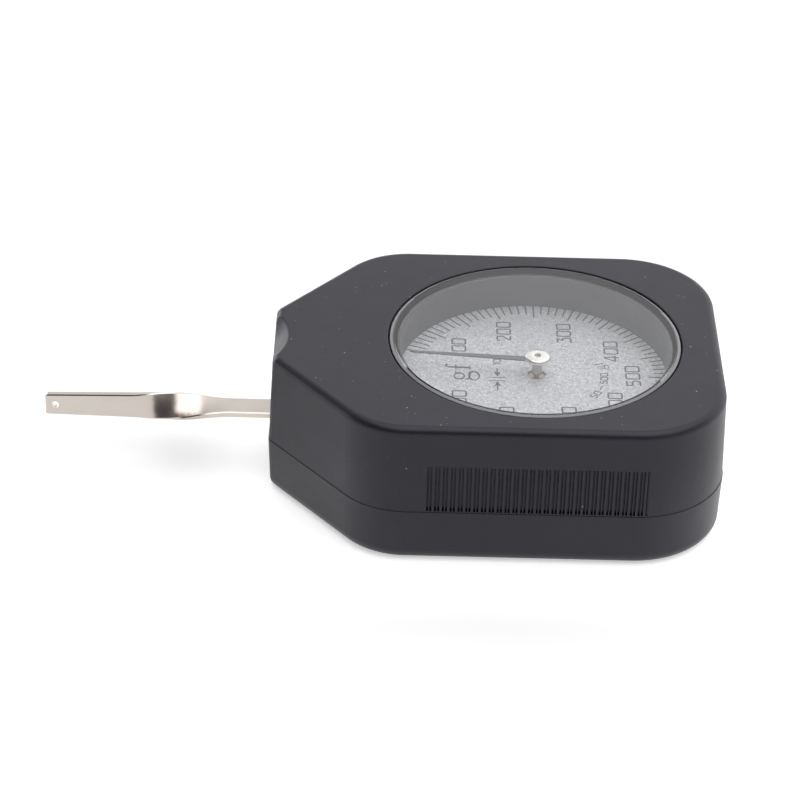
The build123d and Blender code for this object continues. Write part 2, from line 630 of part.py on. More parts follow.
with BuildPart() as hairspring:
    # flat spiral ribbon from the collet out to the stud
    turns = 5.25
    r_in, r_out, half = 1.76, 6.07, 0.05
    n = 84
    outer_pts, inner_pts = [], []
    for i in range(n + 1):
        a = 2 * math.pi * turns * i / n
        r = r_in + (r_out - r_in) * i / n
        outer_pts.append(((r + half) * math.cos(a), (r + half) * math.sin(a)))
        inner_pts.append(((r - half) * math.cos(a), (r - half) * math.sin(a)))
    with BuildSketch(Plane.XY.offset(12.3)):
        with BuildLine():
            Spline(*outer_pts)
            Spline(*inner_pts)
            Line(outer_pts[0], inner_pts[0])
            Line(outer_pts[-1], inner_pts[-1])
        make_face()
    extrude(amount=0.4)
hairspring.part.label = "hairspring"

with BuildPart() as pointer:
    turn = math.radians(180.0 - NEEDLE_ANGLE)
    with BuildSketch(Plane(origin=(0, 0, NEEDLE_Z), x_dir=(math.cos(turn), math.sin(turn), 0), z_dir=(0, 0, 1))):
        with BuildLine():
            Polyline(
                (0, -0.68), (4.0, -0.55), (NEEDLE_LEN - 0.6, -0.20), (NEEDLE_LEN, 0),
                (NEEDLE_LEN - 0.6, 0.20), (4.0, 0.55), (0, 0.68), close=True,
            )
        make_face()
        Circle(1.35)
        Circle(0.79, mode=Mode.SUBTRACT)
    extrude(amount=NEEDLE_T)
pointer.part.label = "pointer"

with BuildPart() as pointer_hub:
    top = NEEDLE_Z + NEEDLE_T
    with BuildSketch(Plane.XZ):
        with BuildLine():
            Line((0.46, 16.6), (0.78, 16.6))
            Line((0.78, 16.6), (0.78, top))
            Line((0.78, top), (CAP_R - 0.08, top))
            Line((CAP_R - 0.08, top), (CAP_R, top + 0.08))
            Line((CAP_R, top + 0.08), (CAP_R, top + 0.42))
            ThreePointArc((CAP_R, top + 0.42), (CAP_R - 0.10, top + 0.60), (CAP_R - 0.32, top + 0.68))
            ThreePointArc((CAP_R - 0.32, top + 0.68), (1.1, top + 0.78), (0.52, top + 0.74))
            Line((0.52, top + 0.74), (0.46, top + 0.66))
            Line((0.46, top + 0.66), (0.46, 16.6))
        make_face()
    revolve(axis=Axis.Z)
pointer_hub.part.label = "pointer_hub"

for piece in (
    front_cover, rear_cover, case_screws, lens, lens_gasket, dial_plate, dial_feet,
    back_plate, front_plate, plate_pillars, pillar_screws, movement_screws,
    lever_bush_rear, lever_bush_front, arbor_bush_rear, arbor_bush_front,
    limit_stops, spring_posts, hairspring_stud, feeler_lever, sector_gear,
    lever_hub, hub_washer, lever_shaft, lever_rivets, spring_pin,
    return_spring_upper, return_spring_lower, pinion_arbor, hairspring_collet,
    hairspring, pointer, pointer_hub,
):
    export_step(piece.part, f"parts/{piece.part.label}.step")
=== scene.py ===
import json
import math

import bpy
import bmesh
from mathutils import Matrix, Vector


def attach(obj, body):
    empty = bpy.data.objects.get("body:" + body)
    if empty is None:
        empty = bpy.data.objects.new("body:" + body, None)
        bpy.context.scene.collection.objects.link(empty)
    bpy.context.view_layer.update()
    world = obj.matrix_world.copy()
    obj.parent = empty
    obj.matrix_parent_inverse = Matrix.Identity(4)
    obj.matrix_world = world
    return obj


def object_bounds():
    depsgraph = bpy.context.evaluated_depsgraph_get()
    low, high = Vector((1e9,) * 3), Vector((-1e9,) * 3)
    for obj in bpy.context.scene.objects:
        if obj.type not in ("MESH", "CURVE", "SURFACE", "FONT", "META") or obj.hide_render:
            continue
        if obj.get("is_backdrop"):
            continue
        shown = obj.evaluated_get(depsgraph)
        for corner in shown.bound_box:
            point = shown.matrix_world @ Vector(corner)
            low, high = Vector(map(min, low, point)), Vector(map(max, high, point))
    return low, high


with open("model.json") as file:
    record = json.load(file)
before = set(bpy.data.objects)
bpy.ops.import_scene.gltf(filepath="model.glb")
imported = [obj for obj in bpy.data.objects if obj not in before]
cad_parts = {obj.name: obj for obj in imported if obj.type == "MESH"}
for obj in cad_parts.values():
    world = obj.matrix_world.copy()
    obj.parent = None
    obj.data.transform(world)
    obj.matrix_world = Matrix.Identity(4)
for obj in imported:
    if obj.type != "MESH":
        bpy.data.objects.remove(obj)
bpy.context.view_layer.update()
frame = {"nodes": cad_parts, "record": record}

MM = 0.001
scene = bpy.context.scene
scene.view_settings.view_transform = "Standard"
scene.view_settings.look = "None"
scene.view_settings.exposure = 0.0
scene.view_settings.gamma = 1.0

# Dimensions shared with the CAD model, in millimetres
DIAL_TOP = 16.3
WINDOW_X = -0.53
LENS_FLAT_R = 22.0


# ================================================================ node helpers
class Shade:
    """A material's node tree, with short calls for the nodes used here."""

    def __init__(self, name, **sockets):
        self.mat = bpy.data.materials.new(name)
        self.mat.use_nodes = True
        self.t = self.mat.node_tree
        self.t.nodes.clear()
        self.out = self.t.nodes.new("ShaderNodeOutputMaterial")
        self.bsdf = self.t.nodes.new("ShaderNodeBsdfPrincipled")
        self.t.links.new(self.bsdf.outputs[0], self.out.inputs[0])
        self.place = self.t.nodes.new("ShaderNodeTexCoord").outputs["Object"]
        for k, v in sockets.items():
            self.bsdf.inputs[k.replace("_", " ")].default_value = v

    def put(self, socket, value):
        if isinstance(value, bpy.types.NodeSocket):
            self.t.links.new(value, socket)
        else:
            if hasattr(socket.default_value, "__len__") and len(value) == 3 and len(socket.default_value) == 4:
                value = (*value, 1.0)
            socket.default_value = value

    def set(self, name, value):
        self.put(self.bsdf.inputs[name], value)

    def stretch(self, scale, rotation=(0, 0, 0)):
        n = self.t.nodes.new("ShaderNodeMapping")
        self.put(n.inputs["Vector"], self.place)
        n.inputs["Rotation"].default_value = rotation
        n.inputs["Scale"].default_value = scale
        return n.outputs[0]

    def noise(self, scale, detail=2.0, rough=0.5, at=None, distortion=0.0):
        n = self.t.nodes.new("ShaderNodeTexNoise")
        self.put(n.inputs["Vector"], at or self.place)
        n.inputs["Scale"].default_value = scale
        n.inputs["Detail"].default_value = detail
        n.inputs["Roughness"].default_value = rough
        n.inputs["Distortion"].default_value = distortion
        return n.outputs["Fac"]

    def cells(self, scale, at=None, feature="F1", random=1.0, plane=False):
        n = self.t.nodes.new("ShaderNodeTexVoronoi")
        n.voronoi_dimensions = "2D" if plane else "3D"
        n.feature = feature
        self.put(n.inputs["Vector"], at or self.place)
        n.inputs["Scale"].default_value = scale
        n.inputs["Randomness"].default_value = random
        return n.outputs["Distance"], (n.outputs["Color"] if feature == "F1" else None)

    def math(self, op, a, b=0.0, c=0.0, clamp=False):
        n = self.t.nodes.new("ShaderNodeMath")
        n.operation = op
        n.use_clamp = clamp
        for s, v in zip(n.inputs, (a, b, c)):
            self.put(s, v)
        return n.outputs[0]

    def span(self, v, lo, hi, to_lo=0.0, to_hi=1.0, smooth=False):
        n = self.t.nodes.new("ShaderNodeMapRange")
        n.interpolation_type = "SMOOTHSTEP" if smooth else "LINEAR"
        for name, x in (("Value", v), ("From Min", lo), ("From Max", hi), ("To Min", to_lo), ("To Max", to_hi)):
            self.put(n.inputs[name], x)
        return n.outputs[0]

    def mix(self, fac, a, b):
        n = self.t.nodes.new("ShaderNodeMix")
        n.data_type = "RGBA"
        self.put(n.inputs["Factor"], fac)
        self.put(n.inputs[6], a)
        self.put(n.inputs[7], b)
        return n.outputs[2]

    def bump(self, height, distance, strength=1.0, normal=None):
        n = self.t.nodes.new("ShaderNodeBump")
        n.inputs["Strength"].default_value = strength
        n.inputs["Distance"].default_value = distance
        self.put(n.inputs["Height"], height)
        if normal is not None:
            self.put(n.inputs["Normal"], normal)
        return n.outputs[0]

    def part(self, colour, channel):
        n = self.t.nodes.new("ShaderNodeSeparateColor")
        self.put(n.inputs[0], colour)
        return n.outputs[channel]

    def xyz(self, at=None):
        n = self.t.nodes.new("ShaderNodeSeparateXYZ")
        self.put(n.inputs[0], at or self.place)
        return n.outputs


# ================================================================ materials
def black_plastic(name, seed):
    """Moulded black plastic: fine spark-eroded texture, uneven gloss, hairline
    scratches and a little dust."""
    s = Shade(name, IOR=1.465)
    s.bsdf.inputs["Specular Tint"].default_value = (0.875, 0.86, 1.0, 1.0)
    fine = s.noise(5200.0, 2.0, 0.6)
    pits, tone = s.cells(3300.0)
    cloud = s.noise(46.0 + seed, 3.0, 0.55)
    wear = s.noise(240.0 + seed, 4.0, 0.6)
    # hairline scratches: thin bands of long stretched noise, in three directions
    marks = None
    for turn, size in ((0.5, 1.0), (-0.9, 1.3), (1.4, 0.8)):
        long_noise = s.noise(900.0 * size, 1.0, 0.4, s.stretch((1.0, 0.035, 1.0), (0, 0, turn)))
        line = s.span(s.math("ABSOLUTE", s.math("SUBTRACT", long_noise, 0.5)), 0.0, 0.0035, 1.0, 0.0)
        patch = s.span(s.noise(70.0 * size + seed, 1.0), 0.60, 0.70)
        line = s.math("MULTIPLY", line, patch)
        marks = line if marks is None else s.math("MAXIMUM", marks, line)
    # dust: small light specks in some cells, thicker in a few patches
    specks = None
    gather = s.span(s.noise(38.0 + seed, 2.0, 0.5), 0.42, 0.62, 0.25, 1.0)
    for scale, size, share in ((150.0, 0.022, 0.45), (300.0, 0.030, 0.66), (700.0, 0.045, 0.88)):
        far, col = s.cells(scale)
        dot = s.span(far, size * 0.5, size, 1.0, 0.0)
        some = s.math("GREATER_THAN", s.part(col, 0), share)
        dot = s.math("MULTIPLY", dot, some)
        dot = s.math("MULTIPLY", dot, s.span(s.part(col, 1), 0.0, 1.0, 0.3, 1.0))
        specks = dot if specks is None else s.math("MAXIMUM", specks, dot)
    # dust that has settled on the upward faces
    up = s.t.nodes.new("ShaderNodeSeparateXYZ")
    s.t.links.new(s.t.nodes.new("ShaderNodeNewGeometry").outputs["Normal"], up.inputs[0])
    facing = s.span(up.outputs[2], 0.90, 0.97)
    level_at = s.place
    for scale, size, share in ((210.0, 0.030, 0.66), (420.0, 0.036, 0.88)):
        far, col = s.cells(scale, level_at, plane=True)
        dot = s.math("MULTIPLY", s.span(far, size * 0.5, size, 1.0, 0.0), s.math("GREATER_THAN", s.part(col, 0), share))
        dot = s.math("MULTIPLY", dot, s.math("MULTIPLY", facing, s.span(s.part(col, 1), 0.0, 1.0, 0.3, 1.0)))
        settled = dot if scale == 210.0 else s.math("MAXIMUM", settled, dot)
    specks = s.math("MAXIMUM", s.math("MULTIPLY", specks, gather), settled)
    base = s.mix(s.span(cloud, 0.3, 0.7), (0.0082, 0.0080, 0.0098), (0.0105, 0.0102, 0.0122))
    base = s.mix(s.math("MULTIPLY", marks, 0.05), base, (0.30, 0.30, 0.31))
    base = s.mix(s.math("MULTIPLY", specks, 0.75), base, (0.50, 0.49, 0.48))
    s.set("Base Color", base)
    rough = s.span(wear, 0.3, 0.7, 0.36, 0.42)
    rough = s.math("ADD", rough, s.span(fine, 0.3, 0.7, -0.02, 0.02))
    s.set("Roughness", s.math("MAXIMUM", rough, s.math("MULTIPLY", specks, 0.8)))
    height = s.math("ADD", s.math("MULTIPLY", fine, 0.7), s.math("MULTIPLY", pits, 0.3))
    normal = s.bump(height, 0.000012, 0.5)
    s.set("Normal", s.bump(wear, 0.00003, 0.10, normal))
    return s.mat


def metal(name, colour, dark, rough, axis=(1.0, 1.0, 1.0), grain=1800.0, depth=0.000006, tint=0.5, spots=0.0):
    """Metal with grain along one direction, uneven gloss and optional pits."""
    s = Shade(name, Metallic=1.0)
    lines = s.noise(grain, 3.0, 0.6, s.stretch(axis))
    cloud = s.noise(130.0, 3.0, 0.6)
    base = s.mix(s.math("MULTIPLY", s.span(cloud, 0.35, 0.75), tint), colour, dark)
    if spots:
        far, col = s.cells(420.0)
        dot = s.math("MULTIPLY", s.span(far, 0.015, 0.04, 1.0, 0.0), s.math("GREATER_THAN", s.part(col, 0), 0.86))
        base = s.mix(s.math("MULTIPLY", dot, spots), base, tuple(0.18 * c for c in colour))
    s.set("Base Color", base)
    r = s.span(lines, 0.3, 0.7, rough * 0.88, rough * 1.14)
    s.set("Roughness", s.math("ADD", r, s.span(cloud, 0.3, 0.7, -0.015, 0.02)))
    s.set("Normal", s.bump(lines, depth, 0.6))
    return s.mat


def dial_silver():
    """Silver-printed dial: fine bright grain over a pale grey ground, with painted shade darkening its far part."""
    s = Shade("dial_silver", Metallic=0.35, IOR=1.45)
    grain = s.noise(2600.0, 2.0, 0.65)
    flake, col = s.cells(4200.0)
    cloud = s.noise(90.0, 3.0, 0.5)
    base = s.mix(s.span(cloud, 0.35, 0.65), (0.520, 0.520, 0.536), (0.531, 0.531, 0.547))
    bright = s.span(s.part(col, 0), 0.50, 1.0)
    base = s.mix(s.math("MULTIPLY", bright, 0.60), base, (0.92, 0.92, 0.94))
    dull = s.span(s.part(col, 1), 0.55, 1.0)
    base = s.mix(s.math("MULTIPLY", dull, 0.62), base, (0.16, 0.16, 0.18))
    base = s.mix(s.span(grain, 0.35, 0.65, 0.0, 0.16), base, (0.80, 0.80, 0.82))
    far, who = s.cells(260.0)
    fleck = s.math("MULTIPLY", s.span(far, 0.012, 0.026, 1.0, 0.0), s.math("GREATER_THAN", s.part(who, 0), 0.88))
    base = s.mix(s.math("MULTIPLY", fleck, 0.5), base, (0.16, 0.16, 0.17))
    # painted shade: the far part of the dial (y from 4 to 20 mm) is darkened towards grey, standing in for the shade in
    # the well
    y = s.xyz()[1]
    base = s.mix(s.span(y, 0.004, 0.020, 0.0, 0.30, True), base, (0.27, 0.27, 0.30))
    s.set("Base Color", base)
    s.set("Roughness", s.span(grain, 0.25, 0.75, 0.42, 0.62))
    s.set("Normal", s.bump(s.math("ADD", grain, s.math("MULTIPLY", flake, 0.5)), 0.00002, 0.5))
    return s.mat


def ink(name, colour):
    """Screen-printed ink: slightly uneven, with tiny thin spots."""
    s = Shade(name, IOR=1.45)
    body = s.noise(3800.0, 3.0, 0.6)
    cloud = s.noise(420.0, 2.0, 0.5)
    base = s.mix(s.span(body, 0.30, 0.75), colour, tuple(c * 1.7 for c in colour))
    s.set("Base Color", s.mix(s.math("MULTIPLY", s.span(cloud, 0.5, 0.8), 0.3), base, tuple(c * 2.2 for c in colour)))
    s.set("Roughness", s.span(body, 0.3, 0.7, 0.45, 0.6))
    s.set("Normal", s.bump(body, 0.000004, 0.5))
    return s.mat


def paint(name, colour, rough=0.4):
    s = Shade(name, IOR=1.5)
    body = s.noise(2600.0, 3.0, 0.6)
    cloud = s.noise(300.0, 2.0, 0.5)
    s.set("Base Color", s.mix(s.span(cloud, 0.3, 0.7), colour, tuple(c * 1.25 for c in colour)))
    s.set("Roughness", s.span(body, 0.3, 0.7, rough * 0.9, rough * 1.1))
    s.set("Normal", s.bump(body, 0.000004, 0.5))
    return s.mat


def rubber():
    s = Shade("gasket_rubber", IOR=1.45)
    body = s.noise(3000.0, 3.0, 0.6)
    s.set("Base Color", s.mix(body, (0.045, 0.045, 0.046), (0.065, 0.065, 0.066)))
    s.set("Roughness", s.span(body, 0.3, 0.7, 0.72, 0.86))
    s.set("Normal", s.bump(body, 0.00001, 0.5))
    return s.mat


def clear_acrylic():
    """Clear plastic, hazy in the bevelled rim. Shadow rays pass, so the dial
    under it is lit."""
    s = Shade("clear_acrylic", Transmission_Weight=1.0, IOR=1.49)
    s.bsdf.inputs["Base Color"].default_value = (0.975, 0.985, 0.985, 1.0)
    hair = s.noise(700.0, 1.0, 0.4, s.stretch((1.0, 0.03, 1.0), (0, 0, 0.7)))
    line = s.span(s.math("ABSOLUTE", s.math("SUBTRACT", hair, 0.5)), 0.0, 0.003, 1.0, 0.0)
    line = s.math("MULTIPLY", line, s.span(s.noise(60.0, 1.0), 0.62, 0.70))
    s.set("Roughness", s.math("MULTIPLY", line, 0.08))
    # milky scatter in the bevel round the rim
    x, y, z = s.xyz()
    dx = s.math("SUBTRACT", x, WINDOW_X * MM)
    radius = s.math("SQRT", s.math("ADD", s.math("MULTIPLY", dx, dx), s.math("MULTIPLY", y, y)))
    rim = s.math("MULTIPLY", s.span(radius, (LENS_FLAT_R + 0.12) * MM, (LENS_FLAT_R + 0.30) * MM), s.span(z, 0.0233, 0.0237))
    haze = s.t.nodes.new("ShaderNodeBsdfDiffuse")
    haze.inputs["Color"].default_value = (0.41, 0.41, 0.425, 1.0)
    milky = s.t.nodes.new("ShaderNodeMixShader")
    s.put(milky.inputs[0], s.math("MULTIPLY", rim, 0.62))
    s.t.links.new(s.bsdf.outputs[0], milky.inputs[1])
    s.t.links.new(haze.outputs[0], milky.inputs[2])
    path = s.t.nodes.new("ShaderNodeLightPath")
    clear = s.t.nodes.new("ShaderNodeBsdfTransparent")
    clear.inputs[0].default_value = (0.93, 0.94, 0.94, 1.0)
    both = s.t.nodes.new("ShaderNodeMixShader")
    s.t.links.new(path.outputs["Is Shadow Ray"], both.inputs[0])
    s.t.links.new(milky.outputs[0], both.inputs[1])
    s.t.links.new(clear.outputs[0], both.inputs[2])
    s.t.links.new(both.outputs[0], s.out.inputs[0])
    return s.mat


MATS = {
    "black_plastic": black_plastic("black_plastic", 0.0),
    "black_plastic_rear": black_plastic("black_plastic_rear", 7.0),
    "clear_acrylic": clear_acrylic(),
    "gasket_rubber": rubber(),
    "dial_silver": dial_silver(),
    "plate_brass": metal("plate_brass", (0.70, 0.50, 0.22), (0.50, 0.33, 0.13), 0.30, (1.0, 0.05, 1.0), 1500.0),
    "bush_bronze": metal("bush_bronze", (0.46, 0.32, 0.22), (0.25, 0.165, 0.11), 0.34, (1.0, 1.0, 0.1), 2600.0),
    "steel_screw": metal("steel_screw", (0.62, 0.61, 0.60), (0.46, 0.45, 0.44), 0.28, (0.1, 1.0, 1.0), 2400.0),
    "black_screw": metal("black_screw", (0.045, 0.045, 0.048), (0.025, 0.025, 0.026), 0.42, (1.0, 1.0, 1.0), 2400.0),
    "steel_shaft": metal("steel_shaft", (0.66, 0.65, 0.63), (0.52, 0.51, 0.50), 0.20, (0.06, 0.06, 1.0), 3000.0),
    "spring_steel": metal("spring_steel", (0.40, 0.40, 0.41), (0.25, 0.24, 0.25), 0.30, (1.0, 1.0, 1.0), 3000.0),
    "lever_nickel": metal("lever_nickel", (0.61, 0.555, 0.505), (0.53, 0.475, 0.425), 0.20, (0.035, 1.0, 1.0), 3600.0, 0.000004, 0.6, 0.7),
    "needle_grey": paint("needle_grey", (0.062, 0.062, 0.068), 0.42),
    "hub_nickel": metal("hub_nickel", (0.88, 0.85, 0.80), (0.78, 0.74, 0.68), 0.13, (1.0, 1.0, 0.08), 2600.0, 0.000002, 0.5, 0.5),
    "dial_ink": ink("dial_ink", (0.028, 0.028, 0.031)),
}
# painted shade: the hub below 19 mm, its tube under the needle and cap, is darkened in its base colour
h = MATS["hub_nickel"].node_tree
hub = Shade.__new__(Shade)
hub.t = h
hub.bsdf = next(n for n in h.nodes if n.type == "BSDF_PRINCIPLED")
hub.place = next(n for n in h.nodes if n.type == "TEX_COORD").outputs["Object"]
tube_shade = hub.span(hub.xyz()[2], 0.0190, 0.01915, 1.0, 0.0)
plated = hub.bsdf.inputs["Base Color"].links[0].from_socket
hub.set("Base Color", hub.mix(hub.math("MULTIPLY", tube_shade, 0.62), plated, (0.20, 0.18, 0.16)))
slot_of = {p["node"]: p["material_slot"] for p in frame["record"]["subparts"]}
for node, obj in frame["nodes"].items():
    mat = MATS[slot_of[node]]
    if node == "rear_cover":
        mat = MATS["black_plastic_rear"]
    obj.data.materials.clear()
    obj.data.materials.append(mat)


# ================================================================ print on the dial
def ribbon(path, width, closed=False):
    """Left and right edges of a stroke along path. width is one number or one per point."""
    n = len(path)
    widths = width if isinstance(width, (list, tuple)) else [width] * n
    left, right = [], []
    for i in range(n):
        p = Vector(path[i])
        before = Vector(path[i - 1]) if (closed or i > 0) else None
        after = Vector(path[(i + 1) % n]) if (closed or i < n - 1) else None
        d1 = (p - before).normalized() if before is not None else None
        d2 = (after - p).normalized() if after is not None else None
        d1 = d1 or d2
        d2 = d2 or d1
        n1, n2 = Vector((-d1.y, d1.x)), Vector((-d2.y, d2.x))
        m = (n1 + n2)
        m = m.normalized() if m.length > 1e-6 else n1
        k = 1.0 / max(0.35, m.dot(n1))
        off = m * (widths[i] / 2.0 * k)
        left.append(p + off)
        right.append(p - off)
    return left, right


class Print:
    """Flat printed strokes gathered in one mesh, a hair above the dial."""

    def __init__(self, name):
        self.name = name
        self.bm = bmesh.new()
        self.z0 = (DIAL_TOP - 0.004) * MM
        self.z1 = (DIAL_TOP + 0.016) * MM
        self.step = 0

    def stroke(self, path, width, place, closed=False):
        left, right = ribbon(path, width, closed)
        self.step += 1
        top = self.z1 + (self.step % 5) * 0.0004 * MM
        lt = [self.bm.verts.new((*place(v), top)) for v in left]
        rt = [self.bm.verts.new((*place(v), top)) for v in right]
        lb = [self.bm.verts.new((*place(v), self.z0)) for v in left]
        rb = [self.bm.verts.new((*place(v), self.z0)) for v in right]
        n = len(path)
        for i in range(n if closed else n - 1):
            j = (i + 1) % n
            self.bm.faces.new((lt[i], lt[j], rt[j], rt[i]))
            self.bm.faces.new((lb[j], lb[i], rb[i], rb[j]))
            self.bm.faces.new((lt[j], lt[i], lb[i], lb[j]))
            self.bm.faces.new((rt[i], rt[j], rb[j], rb[i]))
        if not closed:
            self.bm.faces.new((lt[0], rt[0], rb[0], lb[0]))
            self.bm.faces.new((rt[-1], lt[-1], lb[-1], rb[-1]))

    def fill(self, outline, place):
        """A closed slab from one convex outline."""
        self.step += 1
        top = self.z1 + (self.step % 5) * 0.0004 * MM
        up = [self.bm.verts.new((*place(Vector(p)), top)) for p in outline]
        low = [self.bm.verts.new((*place(Vector(p)), self.z0)) for p in outline]
        n = len(outline)
        self.bm.faces.new(up)
        self.bm.faces.new(list(reversed(low)))
        for i in range(n):
            j = (i + 1) % n
            self.bm.faces.new((up[i], low[i], low[j], up[j]))

    def done(self, material, body="case"):
        bmesh.ops.recalc_face_normals(self.bm, faces=self.bm.faces)
        mesh = bpy.data.meshes.new(self.name)
        self.bm.to_mesh(mesh)
        self.bm.free()
        mesh.materials.append(material)
        obj = bpy.data.objects.new(self.name, mesh)
        scene.collection.objects.link(obj)
        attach(obj, body)
        return obj


def arc(cx, cy, rx, ry, a0, a1, n=12):
    return [
        (cx + rx * math.cos(math.radians(a0 + (a1 - a0) * i / n)), cy + ry * math.sin(math.radians(a0 + (a1 - a0) * i / n)))
        for i in range(n + 1)
    ]


def rounded(points, radius, closed=False, n=4):
    """The same polyline with its corners rounded."""
    out = []
    count = len(points)
    for i, p in enumerate(points):
        p = Vector(p)
        if not closed and i in (0, count - 1):
            out.append(tuple(p))
            continue
        a, b = Vector(points[i - 1]), Vector(points[(i + 1) % count])
        da, db = (a - p), (b - p)
        turn = math.pi - da.angle(db)
        cut = min(radius * math.tan(turn / 2), da.length * 0.45, db.length * 0.45)
        s, e = p + da.normalized() * cut, p + db.normalized() * cut
        for k in range(n + 1):
            t = k / n
            q = s * (1 - t) ** 2 + p * (2 * t * (1 - t)) + e * t * t
            out.append(tuple(q))
    return out


# Squared thin-stroke digits in a cell 1 high. Each is (advance width, strokes), with
# centre lines in units of the digit's height.
W, H = 0.33, 0.45     # half width and half height of the centre lines
DIGITS = {
    "0": (0.78, [(rounded([(-W, -H), (W, -H), (W, H), (-W, H)], 0.12, True), True)]),
    "1": (0.46, [(rounded([(-0.13, 0.27), (0.07, H), (0.07, -H - 0.05)], 0.02), False)]),
    "2": (0.74, [(rounded([(-0.29, 0.24), (-0.29, H), (0.27, H), (0.27, 0.10), (-0.29, -H), (0.31, -H)], 0.12), False)]),
    "3": (0.74, [(rounded([(-0.29, H), (0.28, H), (-0.04, 0.09), (0.29, 0.09), (0.29, -H), (-0.31, -H)], 0.10), False)]),
    "4": (0.80, [
        (rounded([(0.14, -H - 0.05), (0.14, H), (0.06, H), (-0.36, -0.24), (0.36, -0.24)], 0.03), False),
    ]),
    "5": (0.72, [(rounded([(0.26, H), (-0.27, H), (-0.27, 0.06), (0.28, 0.06), (0.28, -H), (-0.29, -H)], 0.13), False)]),
}
DIGITS["5"] = (0.72, [(
    rounded([(0.26, H), (-0.27, H), (-0.27, 0.06), (0.12, 0.06), (0.29, -0.08), (0.29, -0.30), (0.16, -H), (-0.29, -H)], 0.08), False,
)])


def number(ink_mesh, text, height, stroke, place, gap=0.13):
    """Draws text centred on place's origin, along its first axis."""
    total = sum(DIGITS[c][0] for c in text) + gap * (len(text) - 1)
    u = -total / 2
    for c in text:
        wide, strokes = DIGITS[c]
        mid = u + wide / 2
        for path, closed in strokes:
            moved = [((x + mid) * height, y * height) for x, y in path]
            ink_mesh.stroke(moved, stroke, place, closed)
        u += wide + gap


def flat_place(x, y, turn=0.0):
    """Text that runs along +Y with its top towards -X, centred at x, y."""
    c, s = math.cos(turn), math.sin(turn)

    def place(v):
        u, w = v[0] * c - v[1] * s, v[0] * s + v[1] * c
        return ((x - w) * MM, (y + u) * MM)

    return place


INK = MATS["dial_ink"]

# graduations: every 3.6 degrees from 18 to 180 either side of the nose, every fifth long
ticks = Print("scale_graduations")
for k in range(5, 51):
    for side in (1, -1):
        if k == 50 and side == -1:
            continue
        a = math.radians(180.0 - side * 3.6 * k)
        inner = 17.55 if k % 5 == 0 else 18.6
        wide = 0.26 if k % 5 == 0 else 0.24
        c, s = math.cos(a), math.sin(a)
        ticks.stroke([(inner, 0), (21.9, 0)], wide, lambda v, c=c, s=s: ((v[0] * c - v[1] * s) * MM, (v[0] * s + v[1] * c) * MM))
ticks.done(INK)

numbers = Print("scale_numbers")
for text, x, y in (
    ("100", -12.20, 7.70), ("200", -4.95, 12.93), ("300", 4.70, 12.72), ("400", 12.03, 7.50), ("500", 15.12, 0.20),
    ("100", -12.20, -7.97), ("200", -4.90, -12.75), ("300", 4.72, -12.35), ("400", 12.03, -7.95),
):
    number(numbers, text, 2.36, 0.28, flat_place(x, y))
numbers.done(INK)


def letter_g(mark, place):
    """Two-storey serif g, origin on the baseline at its left."""
    n = 28
    bowl, wide = [], []
    for i in range(n):
        a = 2 * math.pi * i / n
        bowl.append((1.20 + 0.87 * math.cos(a), 1.72 + 0.80 * math.sin(a)))
        wide.append(0.19 + 0.20 * abs(math.cos(a)) ** 1.5)
    mark.stroke(bowl, wide, place, True)
    mark.stroke([(1.86, 2.24), (2.20, 2.26), (2.80, 2.26)], [0.16, 0.20, 0.20], place)
    tail = arc(0.66, 0.42, 0.30, 0.28, 100, 215, 6) + [(0.62, 0.17), (0.95, 0.13), (1.45, 0.13), (1.95, 0.10)]
    tail += arc(1.95, -0.50, 0.60, 0.60, 80, -10, 7)
    tail += arc(1.30, -0.62, 1.25, 0.80, -5, -175, 14)
    tail += arc(1.00, -0.62, 0.92, 0.72, 175, 110, 7)
    widths = []
    for i, p in enumerate(tail):
        t = i / (len(tail) - 1)
        widths.append(0.22 + 0.20 * math.sin(math.pi * min(1.0, t * 1.1)) if t < 0.5 else 0.40 - 0.20 * abs(math.sin((t - 0.5) * 2 * math.pi)))
    mark.stroke(tail, widths, place)


def letter_f(mark, place):
    """Serif f, origin on the baseline at its stem."""
    stem = [(0.0, 0.02), (0.0, 1.2), (0.0, 2.4), (0.0, 2.95)] + arc(0.66, 2.98, 0.66, 0.86, 175, 82, 8)
    widths = [0.42, 0.42, 0.42, 0.42] + [0.42 - 0.20 * min(1.0, i / 5) for i in range(9)]
    mark.stroke(stem, widths, place)
    mark.fill([(0.80 + 0.20 * math.cos(math.radians(a)), 3.66 + 0.19 * math.sin(math.radians(a))) for a in range(0, 360, 30)], place)
    mark.stroke([(-0.62, 2.25), (0.88, 2.25)], 0.20, place)
    mark.fill([(-0.68, -0.03), (0.70, -0.03), (0.70, 0.05), (0.22, 0.17), (-0.22, 0.17), (-0.68, 0.05)], place)


unit = Print("unit_mark")
letter_g(unit, flat_place(-10.45, -2.20))
letter_f(unit, flat_place(-10.45, 1.60))
unit.done(INK)

# the value of one division: two lines with an arrow on each side, and the number
division = Print("division_mark")
here = flat_place(-6.20, 0.0)
for y in (-2.12, -1.17):
    division.stroke([(y, -1.34), (y, 1.34)], 0.16, here)
for tip, tail, way in ((-2.26, -4.92, -1), (-0.93, 1.60, 1)):
    division.stroke([(tip + way * 0.9, 0), (tail, 0)], 0.21, here)
    division.fill([(tip, 0), (tip + way * 1.50, 0.56), (tip + way * 1.20, 0), (tip + way * 1.50, -0.56)], here)
number(division, "10", 1.20, 0.19, flat_place(-6.20, 3.45), 0.22)
division.done(INK)

# plain range along an arc, in the same small print
span = Print("range_mark")


def on_arc(angle, radius=10.62):
    """Text centred at this angle on an arc round the dial, its top towards the hub."""
    a = math.radians(angle)
    c, s = math.cos(a), math.sin(a)

    def place(v):
        r = radius - v[1]
        turn = a + v[0] / radius
        return (r * math.cos(turn) * MM, r * math.sin(turn) * MM)

    return place


